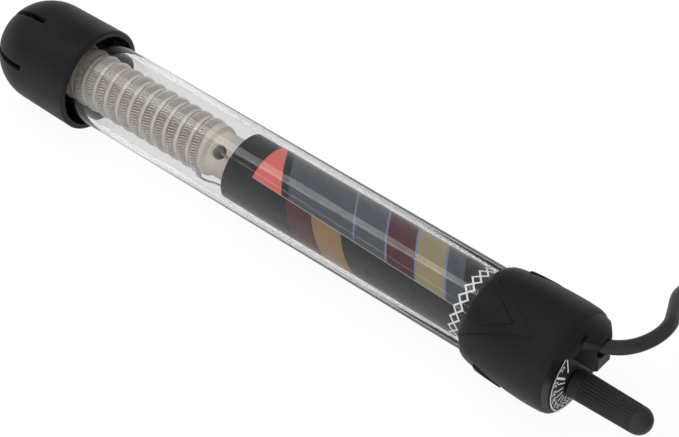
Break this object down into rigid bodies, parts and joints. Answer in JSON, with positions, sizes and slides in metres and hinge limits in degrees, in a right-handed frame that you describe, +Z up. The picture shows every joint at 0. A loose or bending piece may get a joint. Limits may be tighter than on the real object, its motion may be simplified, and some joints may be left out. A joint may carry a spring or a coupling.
{
  "type": "submersible aquarium heater",
  "caption": "Glass-tube aquarium heater with a slotted guard cap, a sealed head with a setting knob, and a mains lead wound into a coil with its plug.",
  "frame": {"origin": "centre of the heater's length, on the surface it lies on, below its axis", "axes": "+X along the heater towards the setting knob, +Z up"},
  "size_m": [0.3728, 0.0885, 0.0376],
  "materials": {
    "black_plastic": "satin",
    "glass": "clear",
    "ceramic": "matte",
    "resistance_wire": "dull",
    "mica": "matte",
    "sleeve_black": "satin",
    "label_print": "gloss print",
    "board": "phenolic",
    "steel": "plain",
    "brass": "plain",
    "bimetal": "plain",
    "silver": "bright",
    "magnet": "plain",
    "rubber": "matte",
    "grey_rubber": "matte",
    "dial_print": "matte",
    "brown_wire": "gloss",
    "blue_wire": "gloss",
    "cord_jacket": "satin",
    "plug_plastic": "satin",
    "nickel": "plated"
  },
  "bodies": {
    "heater": {"guard_cap": "black_plastic", "glass_tube": "glass", "ceramic_core": "ceramic", "heating_coil": "resistance_wire", "core_disc": "mica", "core_collar": "mica", "insulating_sleeve": "sleeve_black", "label_wrap": "label_print", "coil_crimps": "steel", "lead_near": "steel", "lead_return": "steel", "thermostat_board": "board", "terminal_tabs": "brass", "thermostat_frame": "steel", "board_rivets": "steel", "bimetal_block": "board", "arm_pin": "steel", "spindle_bush": "black_plastic", "glass_stopper": "grey_rubber", "tube_seal": "rubber", "head_body": "black_plastic", "dial_plate": "dial_print", "live_wire": "brown_wire", "neutral_wire": "blue_wire", "supply_cord": "cord_jacket", "cord_coil": "cord_jacket", "cord_tail": "cord_jacket", "cord_tie": "plug_plastic", "plug_body": "plug_plastic", "plug_pins": "nickel", "pin_sleeves": "plug_plastic"},
    "setting": {"knob": "black_plastic", "spindle": "steel", "spindle_clip": "steel", "spindle_seals": "rubber"},
    "nut": {"follower_nut": "brass"},
    "arm": {"contact_arm": "brass", "arm_contact": "silver", "snap_magnet": "magnet"},
    "bimetal": {"bimetal_strip": "bimetal", "moving_contact": "silver"}
  },
  "joints": [
    {"name": "knob_turn", "type": "hinge", "parent": "heater", "child": "setting", "pos_m": [0.1378, -0.0006, 0.0112], "axis": [1, 0, 0], "range_deg": [-130, 140]},
    {"name": "nut_slide", "type": "slide", "parent": "heater", "child": "nut", "axis": [1, 0, 0], "range_m": [-0.00155, 0.00144]},
    {"name": "arm_lift", "type": "hinge", "parent": "heater", "child": "arm", "pos_m": [0.0742, 0, 0.0178], "axis": [0, 1, 0], "range_deg": [-1.6, 1.5]},
    {"name": "bimetal_bend", "type": "hinge", "parent": "heater", "child": "bimetal", "pos_m": [-0.0043, 0, 0.0212], "axis": [0, -1, 0], "range_deg": [0, 2], "stiffness_Nm_per_rad": 0.02}
  ],
  "couplings": [
    {"joint": "knob_turn", "follows": "nut_slide", "rad_per_m": -1570.8},
    {"joint": "arm_lift", "follows": "nut_slide", "rad_per_m": 16.746}
  ]
}
